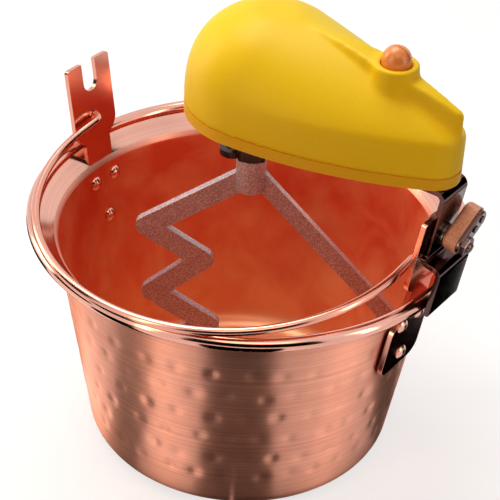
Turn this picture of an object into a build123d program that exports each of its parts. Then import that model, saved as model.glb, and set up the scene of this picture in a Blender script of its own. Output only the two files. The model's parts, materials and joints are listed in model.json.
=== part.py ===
# Electric polenta maker: a hammered copper pot with a swinging bail handle and two forked ears.
# A yellow drive unit is clamped in the fork of one ear, and turns a cast paddle inside the pot.
# Frame: +Z up, origin at the centre of the pot's flat base, +X towards the ear that holds the drive.
from build123d import *
import os
from math import asin, atan2, cos, degrees, hypot, pi, radians, sin, sqrt, tan

# Pot
base_r = 92.0
wall_lean = 8.8
wall_t = 1.5
base_corner_r = 15.0
lip_start_z = 139.0
lip_angle = 45.0
lip_bend_r = 8.0
bead_reach = 34.0
bead_rise = 12.0
bead_r = 4.0
bead_wall = 1.45
wire_gap = 0.05

# Ears, with heights measured up the leaning wall
ear_t = 3.0
ear_width = 37.0
tab_width = 38.0
tab_h = 40.0
tab_under_lip = 5.0
tab_corner_r = 8.0
neck_width = 22.0
neck_overlap = 12.0
fork_over_bead = 6.0
fork_h = 52.0
fork_foot_r = 11.0
fork_tip_r = 2.0
slot_width = 12.0
slot_depth = 19.0
bail_hole_up = 17.0
seat_gap = 0.05
rivet_d = 5.0
rivet_head_d = 9.0
rivet_head_h = 2.2
rivet_inner_rise = 1.0
rivet_sink = 0.1
rivet_hole_gap = 0.1
rivet_pair_y = 9.0
rivet_pair_down = 4.0
rivet_single_up = 10.0
lip_slot_h = 14.0
lip_slot_gap = 0.3
lip_slot_back = 0.5
lip_slot_front = 0.35

# Bail handle
bail_d = 5.0
bail_hole_gap = 0.45
bail_bend_r = 6.0
bail_leg_out = 21.4
bail_tip = 6.0
bail_rest_gap = 0.3
bail_overhang = 0.5

# Drive housing
nose_x = 10.0
nose_r = 48.0
tail_over = 40.0
tail_r = 16.0
least_tail_r = 1.5
side_r = 255.0
under_over_fork = 16.0
band_h = 7.0
cover_h = 56.0
housing_t = 2.5
part_line = 0.6
part_line_depth = 0.8
lip_h = 3.0
lip_gap = 0.2
lip_t = 1.4
nose_shoulder = 0.1
nose_fullness = 2.3
tail_shoulder = 0.36
tail_fullness = 1.2
tail_roundness = 0.62
roof_shares = (0.42, 0.5, 0.6, 0.71, 0.81, 0.89, 0.95)
crown_share = 0.985
spine_start_x = -10.0
spine_front_x = 26.0
spine_front_r = 1.2
spine_front_drop = 1.4
spine_mid_back = 52.0
spine_mid_r = 8.2
spine_bend_back = 37.0
spine_bend_drop = 9.4
spine_tail_r = 2.2
spine_tail_back = 1.0
spine_tail_drop = 20.2
least_spine_r = 0.4
turret_back = 44.0
turret_r = 12.6
turret_drop = 5.0
screw_d = 3.0
screw_gap = 0.2
thread_gap = 0.05
screw_head_d = 5.6
screw_head_h = 1.8
screw_head_round = 0.4
screw_seat = 2.0
recess_w = 0.8
recess_depth = 0.6
recess_share = 0.7
housing_screw_length = 14.0
boss_r = 3.5
boss_gap = 0.6
boss_hole_depth = 11.0
nose_boss_r = 39.5
nose_boss_angle = 125.0
tail_boss_back = 31.0
tail_boss_y = 12.0

# Push button on the turret
button_d = 16.0
button_stand = 1.5
button_gap = 0.25
button_groove = 0.6
button_groove_depth = 0.6
button_skirt = 7.0
skirt_gap = 1.0
button_wall = 1.6
button_flange = 1.3
button_flange_t = 1.4
plunger_d = 5.0
plunger_gap = 0.3
plunger_depth = 5.0
spring_space = 9.0
spring_gap = 0.15
spring_wire_d = 0.8
spring_coil_d = 8.0
spring_turns = 3
switch_size = (13.0, 11.0, 11.0)
switch_corner_r = 1.0
switch_leg = (6.0, 8.0)

# Mounting bracket and clamp
bracket_t = 3.0
bracket_gap = 0.3
tongue_width = 24.4
tongue_step = 3.0
skirt_width = 31.0
shelf_under_slot = 7.5
skirt_w = 16.6
skirt_over_bead = 1.5
bracket_bend_r = 4.0
flange_back = 21.0
bracket_screw_back = 13.0
bracket_screw_y = 6.5
bracket_screw_length = 9.0
bracket_boss_r = 3.6
stud_neck_r = 5.8
stud_shank_r = 3.0
stud_head_r = 9.0
stud_head_t = 3.0
stud_gap = 0.25
stud_fit = 0.02
stud_end = 1.5
edge_chamfer = 0.8
nut_bore_gap = 0.06
grip_t = 8.6
grip_width = 13.5
grip_corner_r = 5.5
grip_round = 2.5
grip_tail = 6.5
grip_reach = 22.5
grip_angle = 37.0
grip_rivet_x = (10.5, 17.0)
grip_rivet_r = 1.2
grip_rivet_gap = 0.05
grip_rivet_short = 0.6
grip_rivet_head = (2.2, 0.8)
strap_t = 2.4
strap_inset = 1.5
sleeve_r = 4.4
sleeve_fit = 0.03
nut_seat_r = 6.5
nut_seat_t = 2.0
nut_hex = 10.0
nut_t = 3.0
clamp_gap = 0.25

# Drive train
gear_w = 6.0
stack_gap = 1.0
slow_module = 0.85
fast_module = 0.6
slow_wheel_teeth = 70
slow_pinion_teeth = 14
fast_wheel_teeth = 56
fast_pinion_teeth = 14
pressure_angle = 25.0
tooth_tip = 0.88
tooth_root = 1.12
tooth_seat = 0.2
flank_start = 0.05
backlash = 0.14
centre_slack = 0.08
compound_angle = -30.0
gear_floor = 9.5
gear_hub_r = 8.5
gear_hub_h = 3.0
hole_count = 5
slow_hole_r = 5.0
slow_hole_ring = 18.0
fast_hole_r = 2.8
fast_hole_ring = 10.5
shaft_r = 5.0
shaft_step = 0.5
shaft_flat = 3.9
shaft_foot = 2.0
pin_r = 2.0
pin_fit = 0.02
pin_seat = 1.5
pin_end = 0.5
pin_boss_r = 4.5
pin_boss_gap = 0.3
running_gap = 0.06
bush_r = 8.0
bush_top_gap = 1.0
boss_wall = 4.0
boss_drop = 26.0
gear_plate_t = 2.0
plate_gap = 1.5
plate_inset = 5.5
plate_share = 0.3
plate_nose_x = -36.0
plate_turret_gap = 14.0
plate_shaft_hole_r = 12.0
plate_rotor_gap = 2.0
plate_boss_gap = 0.5
post_r = 3.0
post_at = ((-5.0, 36.0), (45.0, 31.0), (66.0, -24.0), (4.0, -39.0))
plate_screw_r = 1.45
plate_screw_gap = 0.1
plate_screw_head_r = 2.6
motor_r = 19.0
motor_h = 15.0
can_t = 1.2
can_corner_r = 2.0
coil_gap = 0.05
rotor_r = 8.0
rotor_air_gap = 0.6
rotor_rise = 3.0
rotor_end_gap = 4.0
rotor_shaft_r = 1.5
rotor_shaft_over = 1.2
pinion_bore = 0.5

# Paddle
paddle_azimuth = 34.0
paddle_t = 5.0
paddle_floor_gap = 1.5
blade_w = 13.0
blade_trim = 0.5
foot_trim = 1.0
arm_w = 10.0
arm_start_x = 4.0
arm_start_up = 9.5
arm_bend_z = 84.0
arm_wall_gap = 6.0
foot_wall_gap = 12.0
zigzag_start_up = 7.0
zigzag_x = (60.0, 26.0, 56.0, 21.0, 56.0)
zigzag_z = (138.0, 115.5, 90.0, 67.0, 42.0)
zigzag_foot_x = 50.0
hub_r = 8.8
hub_h = 22.0
hub_foot_r = 1.5
hub_floor = 1.8
hub_fit = 0.02
flat_fit = 0.05

# Lock clip
clip_t = 7.0
clip_w = 15.0
clip_length = 16.0
clip_corner_r = 2.5
clip_headroom = 2.2
groove_r = 3.5
groove_h = 4.0
clip_lip = 1.5
key_gap = 0.2
clip_gap = 0.3
loop_r = 7.2
loop_hole_r = 3.6
loop_reach = 11.5
loop_t = 4.0

# Cable inlet
grommet_x = 62.0
grommet_z_up = 7.5
grommet_r = 4.6
grommet_fit = 0.05
grommet_front = 2.5
grommet_back = 9.5
grommet_flange = 1.6
grommet_flange_out = 1.1
grommet_flange_t = 1.6
grommet_bore = 1.9
grommet_bore_depth = 3.0
grommet_room_r = 12.0
grommet_room_y = 38.0
grommet_room_under = 4.0

# How far a cutting shape reaches past the faces that it cuts
cut_over = 1.0
cut_through = 20.0

# Values that follow from the sizes above
lean = radians(wall_lean)
along = Vector(sin(lean), 0, cos(lean))
outward = Vector(cos(lean), 0, -sin(lean))
ear_plane = Plane(origin=(base_r, 0, 0), x_dir=(0, 1, 0), z_dir=(cos(lean), 0, -sin(lean)))
bead_centre_r = base_r + bead_reach
bead_centre_z = lip_start_z + bead_rise
tab_high = lip_start_z - tab_under_lip
tab_low = tab_high - tab_h
fork_low = bead_centre_z + fork_over_bead
fork_high = fork_low + fork_h
slot_low = fork_high - slot_depth
rivet_pair_v = tab_high - rivet_pair_down
rivet_single_v = tab_low + rivet_single_up
bail_hole_v = fork_low + bail_hole_up
bail_leg_x = base_r + bail_leg_out
hinge_point = Vector(base_r, 0, 0) + along * bail_hole_v + outward * (seat_gap + ear_t / 2)
hinge_z = hinge_point.Z
hinge_x = hinge_point.X
ear_face = seat_gap + ear_t
tongue_w = ear_face + bracket_gap
shelf_v = slot_low - shelf_under_slot
skirt_low = bead_centre_z + skirt_over_bead
stud_v = slot_low + stud_neck_r + stud_gap
under_z = fork_high + under_over_fork
cover_z = under_z + band_h
crown_z = cover_z + cover_h
tail_x = base_r + tail_over
tail_boss_x = tail_x - tail_boss_back
bracket_screw_x = tail_x - bracket_screw_back
flange_x = tail_x - flange_back
turret_x = tail_x - turret_back
turret_z = crown_z - turret_drop
grommet_z = cover_z + grommet_z_up
slow_distance = slow_module * (slow_wheel_teeth + slow_pinion_teeth) / 2 + centre_slack
fast_distance = fast_module * (fast_wheel_teeth + fast_pinion_teeth) / 2 + centre_slack
compound_x = slow_distance * cos(radians(compound_angle))
compound_y = slow_distance * sin(radians(compound_angle))
rotor_x = compound_x + sqrt(fast_distance ** 2 - compound_y ** 2)
gear_z = under_z + gear_floor
fast_z = gear_z + gear_w + stack_gap
plate_z = fast_z + gear_w + plate_gap
plate_top = plate_z + gear_plate_t
boss_low = under_z - boss_drop
bush_high = gear_z - bush_top_gap
hub_high = boss_low - clip_headroom - clip_t - clip_gap
hub_low = hub_high - hub_h
paddle_low = wall_t + paddle_floor_gap


def local(shape):
    """Carry a shape from the ear's own frame (y, up the ear, outward) to the pot's frame."""
    return ear_plane.location * shape


def disc(x, y, z, r, h):
    """Upright cylinder standing on z."""
    return Pos(x, y, z + h / 2) * Cylinder(r, h)


def group(shapes):
    """Several loose pieces of one kind, kept as separate solids."""
    return Compound(children=list(shapes))


# Pot: one spun sheet, bent out to a rolled bead that closes on a wire

def wall_path(inset):
    mid_r = base_r - inset / cos(lean)
    lip_r = mid_r + lip_start_z * tan(lean)
    corner_r = mid_r + inset * tan(lean)
    join = radians(180 + lip_angle)
    bead_mid = bead_r - bead_wall / 2
    end = (bead_centre_r + bead_mid * cos(join), bead_centre_z + bead_mid * sin(join))
    points = [(0, inset), (corner_r, inset), (lip_r, lip_start_z), end]
    return FilletPolyline(*points, radius=[base_corner_r - inset, lip_bend_r])


def spun(face):
    return revolve(Plane.XZ * face, Axis.Z)


def ear_cutters():
    """Slot through the lip for the ear's neck, and holes for its three rivets."""
    back = -wall_t - lip_slot_back
    front = ear_face + lip_slot_front
    slot = Box(neck_width + 2 * lip_slot_gap, lip_slot_h, front - back)
    slot = local(Pos(0, (tab_high + fork_low) / 2, (front + back) / 2) * slot)
    return [slot] + rivet_holes()


def rivet_holes():
    hole = Cylinder(rivet_d / 2 + rivet_hole_gap, cut_through)
    return [local(Pos(y, v, 0) * hole) for y, v in rivet_places()]


def rivet_places():
    return [(-rivet_pair_y, rivet_pair_v), (rivet_pair_y, rivet_pair_v), (0, rivet_single_v)]


def make_pot():
    sheet = offset(wall_path(wall_t / 2), amount=wall_t / 2, side=Side.BOTH)
    sheet = make_face(sheet.edges())
    room = 2 * bead_centre_r
    sheet = sheet & Pos(room / 2, room / 2) * Rectangle(room, room)
    bead = Circle(bead_r) - Circle(bead_r - bead_wall)
    bead = Pos(bead_centre_r, bead_centre_z) * bead
    core = Pos(bead_centre_r, bead_centre_z) * Circle(bead_r - bead_wall)
    pot = spun((sheet + bead) - core)
    for cutter in ear_cutters():
        pot = pot - cutter - mirror(cutter, about=Plane.YZ)
    return pot


def make_rim_wire():
    return Pos(0, 0, bead_centre_z) * Torus(bead_centre_r, bead_r - bead_wall - wire_gap)


def make_ear():
    tab = Pos(0, (tab_low + tab_high) / 2) * RectangleRounded(tab_width, tab_h, tab_corner_r)
    neck = Pos(0, (tab_high + fork_low) / 2) * Rectangle(neck_width, fork_low - tab_high + 2 * neck_overlap)
    fork = Pos(0, fork_low + fork_h / 2) * Rectangle(ear_width, fork_h)
    fork = fillet(fork.vertices().sort_by(Axis.Y)[:2], fork_foot_r)
    fork = fillet(fork.vertices().sort_by(Axis.Y)[-2:], fork_tip_r)
    slot = Pos(0, slot_low + slot_width / 2) * Circle(slot_width / 2)
    slot += Pos(0, slot_low + slot_width / 2 + slot_depth) * Rectangle(slot_width, 2 * slot_depth)
    plate = extrude(tab + neck + fork - slot, ear_t)
    ear = local(Pos(0, 0, seat_gap) * plate)
    for hole in rivet_holes():
        ear -= hole
    hole = Cylinder(bail_d / 2 + bail_hole_gap, cut_through)
    ear -= Pos(hinge_x, 0, hinge_z) * Rot(0, 90, 0) * hole
    return ear


def rivet_cap(base_w, up):
    """Round rivet head: a slice of a sphere, standing on base_w."""
    ball_r = (rivet_head_h ** 2 + (rivet_head_d / 2) ** 2) / (2 * rivet_head_h)
    side = 1 if up else -1
    ball = Pos(0, 0, base_w - side * (ball_r - rivet_head_h)) * Sphere(ball_r)
    keep = Pos(0, 0, base_w + side * ball_r) * Box(2 * rivet_head_d, 2 * rivet_head_d, 2 * ball_r)
    return ball & keep


def make_rivets(pot):
    rivets = []
    inner_w = -wall_t - rivet_inner_rise
    seat_w = -wall_t + rivet_sink
    for y, v in rivet_places():
        rivet = Pos(0, 0, (ear_face + inner_w) / 2) * Cylinder(rivet_d / 2, ear_face - inner_w)
        rivet += Pos(0, 0, (inner_w + seat_w) / 2) * Cylinder(rivet_head_d / 2, seat_w - inner_w)
        rivet += rivet_cap(ear_face, True)
        rivet += rivet_cap(inner_w, False)
        rivets.append(local(Pos(y, v, 0) * rivet) - pot)
    return rivets


# Bail handle: one bent rod, lying on the bead's outer shoulder in front

def bail_frame():
    """Height and place of the rod's lowest point, resting on the bead."""
    contact = bead_r + bail_d / 2 + bail_rest_gap
    front_r = bead_centre_r + bead_r - bail_overhang
    front_z = bead_centre_z + sqrt(contact ** 2 - (front_r - bead_centre_r) ** 2)
    drop = hinge_z - front_z
    return hypot(front_r, drop), atan2(drop, front_r)


def make_bail():
    reach, droop = bail_frame()
    centre = reach - bail_leg_x
    tip_x = hinge_x + ear_t / 2 + bail_tip
    start_x = bail_leg_x + bail_bend_r
    path = Line((tip_x, 0), (start_x, 0))
    path += RadiusArc((start_x, 0), (bail_leg_x, bail_bend_r), bail_bend_r)
    path += Line((bail_leg_x, bail_bend_r), (bail_leg_x, centre))
    path += ThreePointArc((bail_leg_x, centre), (0, reach), (-bail_leg_x, centre))
    path += Line((-bail_leg_x, centre), (-bail_leg_x, bail_bend_r))
    path += RadiusArc((-bail_leg_x, bail_bend_r), (-start_x, 0), bail_bend_r)
    path += Line((-start_x, 0), (-tip_x, 0))
    rod = sweep(Plane(path @ 0, z_dir=path % 0) * Circle(bail_d / 2), path=path)
    plane = Plane(origin=(0, 0, hinge_z), x_dir=(1, 0, 0), z_dir=(0, sin(droop), -cos(droop)))
    return plane.location * rod


# Drive housing: an egg-shaped cover over a shallow base

def egg(inset, height):
    """Outline of the housing at a share of the cover's height, pulled in by inset."""
    nose_rise = max(height - nose_shoulder, 0) / (1 - nose_shoulder)
    tail_rise = max(height - tail_shoulder, 0) / (1 - tail_shoulder)
    nose_fall = (1 - nose_rise ** nose_fullness) ** (1 / nose_fullness)
    tail_fall = (1 - tail_rise ** tail_fullness) ** tail_roundness
    r1 = nose_r * nose_fall - inset
    r2 = max(tail_r * nose_fall - inset, least_tail_r)
    x2 = nose_x + (tail_x - nose_x) * tail_fall - inset - r2
    gap = x2 - nose_x
    cx = nose_x + ((side_r - r1) ** 2 - (side_r - r2) ** 2 + gap ** 2) / (2 * gap)
    cy = sqrt((side_r - r1) ** 2 - (cx - nose_x) ** 2)
    a = Vector(nose_x - cx, -cy).normalized() * r1 + Vector(nose_x, 0)
    b = Vector(x2 - cx, -cy).normalized() * r2 + Vector(x2, 0)
    middle = Vector((a.X + b.X) / 2 - cx, (a.Y + b.Y) / 2 - cy).normalized() * side_r + Vector(cx, cy)
    outline = ThreePointArc((a.X, -a.Y), (nose_x - r1, 0), (a.X, a.Y))
    outline += ThreePointArc((a.X, a.Y), (middle.X, middle.Y), (b.X, b.Y))
    outline += ThreePointArc((b.X, b.Y), (x2 + r2, 0), (b.X, -b.Y))
    outline += ThreePointArc((b.X, -b.Y), (middle.X, -middle.Y), (a.X, -a.Y))
    return make_face(outline)


def egg_slab(inset, z, h):
    return Pos(0, 0, z) * extrude(egg(inset, 0), h)


def dome(inset):
    """The cover's crowned body; inset gives the hollow inside it."""
    wall = [level(inset, share) for share in (0, tail_shoulder / 2, tail_shoulder)]
    roof = [level(inset, share) for share in (tail_shoulder, *roof_shares, crown_share)]
    return loft(wall) + loft(roof)


def level(inset, share):
    """The cover's outline at a share of its height."""
    return Pos(0, 0, cover_z + share * (cover_h - inset)) * egg(inset, share)


def spine(inset):
    """Raised rib along the top, from the dome to the tail."""
    circles = [
        (spine_front_x, spine_front_r),
        (tail_x - spine_mid_back, spine_mid_r),
        (tail_x - spine_tail_back - spine_tail_r, spine_tail_r),
    ]
    front = (spine_front_x, crown_z - spine_front_drop - inset)
    bend = (tail_x - spine_bend_back, crown_z - spine_bend_drop - inset)
    tail = (tail_x - spine_tail_back - inset, crown_z - spine_tail_drop - inset)
    side = Line((spine_start_x, cover_z), (spine_start_x, front[1]))
    side += Line((spine_start_x, front[1]), front)
    side += ThreePointArc(front, bend, tail)
    side += Line(tail, (tail[0], cover_z))
    side += Line((tail[0], cover_z), (spine_start_x, cover_z))
    profile = extrude(Plane.XZ * make_face(side), nose_r, both=True)
    return Pos(0, 0, cover_z) * extrude(make_hull_face(circles, inset), 2 * cover_h) & profile


def make_hull_face(circles, inset):
    """Rib plan: circles of (x, radius) joined by straight sides."""
    shape = None
    for (x1, r1), (x2, r2) in zip(circles, circles[1:]):
        a = max(r1 - inset, least_spine_r)
        b = max(r2 - inset, least_spine_r)
        turn = asin((a - b) / (x2 - x1))
        top = [(x1 + a * sin(turn), a * cos(turn)), (x2 + b * sin(turn), b * cos(turn))]
        low = [(x, -y) for x, y in reversed(top)]
        piece = make_face(Polyline(*top, *low, close=True))
        piece += Pos(x1, 0) * Circle(a)
        piece += Pos(x2, 0) * Circle(b)
        shape = piece if shape is None else shape + piece
    return shape


def boss_places():
    places = []
    for sign in (-1, 1):
        angle = radians(nose_boss_angle)
        places.append((nose_x + nose_boss_r * cos(angle), sign * nose_boss_r * sin(angle)))
        places.append((tail_boss_x, sign * tail_boss_y))
    return places


def make_cover():
    skin = dome(0) + spine(0)
    turret = disc(turret_x, 0, cover_z, turret_r, turret_z - cover_z)
    skin = skin + turret
    hollow = dome(housing_t) + spine(housing_t)
    hollow += disc(turret_x, 0, cover_z, turret_r - housing_t, turret_z - housing_t - cover_z)
    cover = skin - hollow
    boss_top = dome(housing_t / 2)
    for x, y in boss_places():
        cover += disc(x, y, cover_z, boss_r, cover_h) & boss_top
        cover -= disc(x, y, cover_z - cut_over, screw_d / 2, boss_hole_depth + cut_over)
    cover -= disc(turret_x, 0, turret_z - 2 * housing_t, button_d / 2 + button_gap, cut_through)
    cover -= grommet_place() * Cylinder(grommet_r, cut_through)
    return cover


def make_base():
    base = egg_slab(0, under_z, band_h)
    base -= egg_slab(housing_t, under_z + housing_t, band_h)
    rebate = egg_slab(0, cover_z - part_line, part_line)
    base -= rebate - egg_slab(part_line_depth, cover_z - part_line, part_line)
    rim = egg_slab(housing_t + lip_gap, under_z + housing_t, band_h - housing_t + lip_h)
    rim -= egg_slab(housing_t + lip_gap + lip_t, under_z + housing_t, band_h + lip_h)
    for x, y in boss_places():
        rim -= disc(x, y, cover_z, boss_r + boss_gap, cut_through)
    room_z = grommet_z - grommet_r - grommet_room_under
    rim -= disc(grommet_x, grommet_room_y, room_z, grommet_room_r, cut_through)
    base += rim
    base += disc(0, 0, boss_low, bush_r + boss_wall, bush_high - boss_low)
    base -= disc(0, 0, boss_low - cut_over, bush_r, 2 * (bush_high - boss_low))
    for x, y in boss_places():
        base += disc(x, y, under_z, boss_r, band_h)
        base -= disc(x, y, under_z - cut_over, screw_d / 2 + screw_gap, cut_through)
        base -= disc(x, y, under_z - cut_over, screw_head_d / 2 + screw_gap, screw_seat + cut_over)
    for y in (-bracket_screw_y, bracket_screw_y):
        base += disc(bracket_screw_x, y, under_z, bracket_boss_r, band_h)
        base -= disc(bracket_screw_x, y, under_z - cut_over, screw_d / 2 + thread_gap, cut_through)
    base += disc(compound_x, compound_y, under_z, pin_boss_r, gear_floor - pin_boss_gap)
    base -= disc(compound_x, compound_y, under_z + pin_seat, pin_r, cut_through)
    for x, y in post_at:
        base -= disc(x, y, under_z + pin_seat, plate_screw_r + thread_gap, cut_through)
    return base


def make_screw(length, d):
    """Pan-head screw pointing up, its head's seat at z = 0."""
    body = disc(0, 0, 0, d / 2, length)
    head = disc(0, 0, -screw_head_h, screw_head_d / 2, screw_head_h)
    head = fillet(head.edges().group_by(Axis.Z)[0], screw_head_h * screw_head_round)
    arm = Box(screw_head_d * recess_share, recess_w, 2 * recess_depth)
    for turn in (0, 90):
        head -= Pos(0, 0, -screw_head_h) * Rot(0, 0, turn) * arm
    return body + head


def make_housing_screws():
    screw = make_screw(housing_screw_length, screw_d - 2 * thread_gap)
    return [Pos(x, y, under_z + screw_seat) * screw for x, y in boss_places()]


def make_grommet():
    """Rubber inlet bush in the far side wall, closed by a thin skin inside."""
    length = grommet_front + grommet_back
    body = Pos(0, 0, grommet_front - length / 2) * Cylinder(grommet_r - grommet_fit, length)
    flange = Cylinder(grommet_r + grommet_flange, grommet_flange_t)
    body += Pos(0, 0, grommet_flange_out + grommet_flange_t / 2) * flange
    body -= Pos(0, 0, cut_through / 2 - grommet_bore_depth) * Cylinder(grommet_bore, cut_through)
    return grommet_place() * body


def grommet_place():
    """On the far side wall, with its axis square to the wall."""
    tilt = degrees(asin((grommet_x - side_centre()[0]) / side_r))
    return Pos(grommet_x, grommet_wall_y(), grommet_z) * Rot(-90, 0, 0) * Rot(0, tilt, 0)


def side_centre():
    gap = tail_x - nose_x - tail_r
    cx = nose_x + ((side_r - nose_r) ** 2 - (side_r - tail_r) ** 2 + gap ** 2) / (2 * gap)
    return cx, sqrt((side_r - nose_r) ** 2 - (cx - nose_x) ** 2)


def grommet_wall_y():
    cx, cy = side_centre()
    return sqrt(side_r ** 2 - (grommet_x - cx) ** 2) - cy


# Bracket: one bent strap, from under the tail down outside the fork and over the bead

def make_bracket():
    half = bracket_t / 2
    flange_z = under_z - half
    tongue = Vector(base_r, 0, 0) + outward * (tongue_w + half)
    bend = tongue + along * ((flange_z - tongue.Z) / along.Z)
    shelf_in = tongue + along * shelf_v
    shelf_out = Vector(base_r, 0, 0) + outward * skirt_w + along * shelf_v
    foot = Vector(base_r, 0, 0) + outward * skirt_w + along * skirt_low
    points = [(flange_x, flange_z)] + [(p.X, p.Z) for p in (bend, shelf_in, shelf_out, foot)]
    path = FilletPolyline(*points, radius=[bracket_bend_r, bracket_bend_r, bracket_bend_r])
    band = make_face(offset(path, amount=half, side=Side.BOTH).edges())
    strap = extrude(Plane.XZ * band, skirt_width / 2, both=True)
    for side in (-1, 1):
        y = side * (tongue_width + skirt_width) / 2
        strap -= local(Pos(y, shelf_v + tongue_step + under_z / 2, 0) * Box(skirt_width, under_z, under_z))
    strap -= local(Pos(0, stud_v, 0) * Cylinder(stud_shank_r + stud_fit, 3 * cut_through))
    for y in (-bracket_screw_y, bracket_screw_y):
        strap -= disc(bracket_screw_x, y, under_z - cut_through / 2, screw_d / 2 + screw_gap, cut_through)
    return strap


def make_bracket_screws():
    screw = make_screw(bracket_screw_length, screw_d)
    return [Pos(bracket_screw_x, y, under_z - bracket_t) * screw for y in (-bracket_screw_y, bracket_screw_y)]


def make_stud():
    """Clamp stud: head inside the fork, neck in its slot, shank out through the tongue."""
    head = Pos(0, 0, seat_gap - stud_gap - stud_head_t / 2) * Cylinder(stud_head_r, stud_head_t)
    head = chamfer(head.edges().group_by(Axis.Z)[0], edge_chamfer)
    neck_h = tongue_w - seat_gap + stud_gap
    neck = Pos(0, 0, tongue_w - neck_h / 2) * Cylinder(stud_neck_r, neck_h)
    end_w = nut_end() + stud_end
    shank = Pos(0, 0, (tongue_w + end_w) / 2) * Cylinder(stud_shank_r, end_w - tongue_w)
    shank = chamfer(shank.edges().group_by(Axis.Z)[-1], edge_chamfer)
    return local(Pos(0, stud_v, 0) * (head + neck + shank))


def nut_start():
    return tongue_w + bracket_t + clamp_gap


def nut_end():
    return nut_start() + nut_seat_t + grip_t + strap_t + nut_t


def clamp_place(shape):
    """Turn a clamp piece, drawn pointing along +X, to the rest angle on the stud."""
    return local(Pos(0, stud_v, 0) * Rot(0, 0, grip_angle) * shape)


def make_clamp_nut():
    start = nut_start()
    seat = Pos(0, 0, start + nut_seat_t / 2) * Cylinder(nut_seat_r, nut_seat_t)
    sleeve = Pos(0, 0, (start + nut_end()) / 2) * Cylinder(sleeve_r, nut_end() - start)
    hexagon = extrude(RegularPolygon(nut_hex / 2, 6, major_radius=False), nut_t)
    hexagon = Pos(0, 0, nut_end() - nut_t) * hexagon
    hexagon = chamfer(hexagon.edges().group_by(Axis.Z)[-1], edge_chamfer)
    nut = seat + sleeve + hexagon
    nut -= Pos(0, 0, start) * Cylinder(stud_shank_r + nut_bore_gap, 3 * cut_through)
    return clamp_place(nut)


def grip_outline(grow):
    outline = RectangleRounded(grip_tail + grip_reach + grow, grip_width + grow, grip_corner_r)
    return Pos((grip_reach - grip_tail) / 2, 0) * outline


def make_grip():
    low = nut_start() + nut_seat_t
    grip = Pos(0, 0, low) * extrude(grip_outline(0), grip_t)
    grip = fillet(grip.edges().group_by(Axis.Z)[0], grip_round)
    return clamp_place(grip - grip_bores(low))


def grip_bores(low):
    """Bores for the nut's sleeve and the two rivets."""
    bores = Pos(0, 0, low) * Cylinder(sleeve_r + sleeve_fit, 2 * cut_through)
    for x in grip_rivet_x:
        bores += Pos(x, 0, low) * Cylinder(grip_rivet_r + grip_rivet_gap, 2 * cut_through)
    return bores


def make_strap():
    low = nut_start() + nut_seat_t + grip_t
    strap = Pos(0, 0, low) * extrude(grip_outline(-strap_inset), strap_t)
    strap = fillet(strap.edges().group_by(Axis.Z)[-1], edge_chamfer)
    return clamp_place(strap - grip_bores(low))


def make_grip_rivets():
    low = nut_start() + nut_seat_t
    top = low + grip_t + strap_t
    foot = low + grip_rivet_short
    head_r, head_h = grip_rivet_head
    pin = disc(0, 0, foot, grip_rivet_r, top - foot) + disc(0, 0, top, head_r, head_h)
    return [clamp_place(Pos(x, 0, 0) * pin) for x in grip_rivet_x]


# Push button and switch

def make_button():
    stand = disc(0, 0, turret_z - button_skirt, button_d / 2, button_skirt + button_stand)
    ball = Pos(0, 0, turret_z + button_stand) * Sphere(button_d / 2)
    ball = ball & disc(0, 0, turret_z + button_stand, button_d, button_d)
    button = stand + ball
    button -= disc(0, 0, turret_z - button_skirt - skirt_gap, button_d / 2 - button_wall, button_skirt)
    flange_z = turret_z - housing_t - button_gap - button_flange_t
    button += disc(0, 0, flange_z, button_d / 2 + button_flange, button_flange_t)
    button -= disc(0, 0, flange_z - cut_over, button_d / 2 - button_wall, button_flange_t + cut_over)
    plunger_low = switch_top() + skirt_gap
    button += disc(0, 0, plunger_low, plunger_d / 2, turret_z - plunger_low)
    groove = Pos(0, 0, turret_z + button_stand + button_d) * Box(2 * button_d, button_groove, 2 * button_d)
    shell = Sphere(button_d) - Sphere(button_d / 2 - button_groove_depth)
    shell = Pos(0, 0, turret_z + button_stand) * shell
    button -= groove & shell
    return Pos(turret_x, 0, 0) * button


def switch_top():
    return turret_z - button_skirt - skirt_gap - spring_space


def make_switch():
    lx, ly, lz = switch_size
    body = Pos(turret_x, 0, switch_top() - lz / 2) * Box(lx, ly, lz)
    body = fillet(body.edges().filter_by(Axis.Z), switch_corner_r)
    body -= disc(turret_x, 0, switch_top() - plunger_depth, plunger_d / 2 + plunger_gap, 2 * plunger_depth)
    stand = switch_top() - lz - under_z - housing_t
    leg = Pos(turret_x, 0, under_z + housing_t + stand / 2) * Box(*switch_leg, stand)
    return body + leg


def make_spring():
    high = turret_z - skirt_gap - spring_gap
    low = switch_top() + spring_gap
    free = high - low
    pitch = (free - 2 * spring_wire_d) / spring_turns
    path = Helix(pitch, pitch * spring_turns, spring_coil_d / 2)
    wire = sweep(Plane(path @ 0, z_dir=path % 0) * RegularPolygon(spring_wire_d / 2, 6), path=path)
    return Pos(turret_x, 0, low + spring_wire_d) * wire


# Gears

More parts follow.
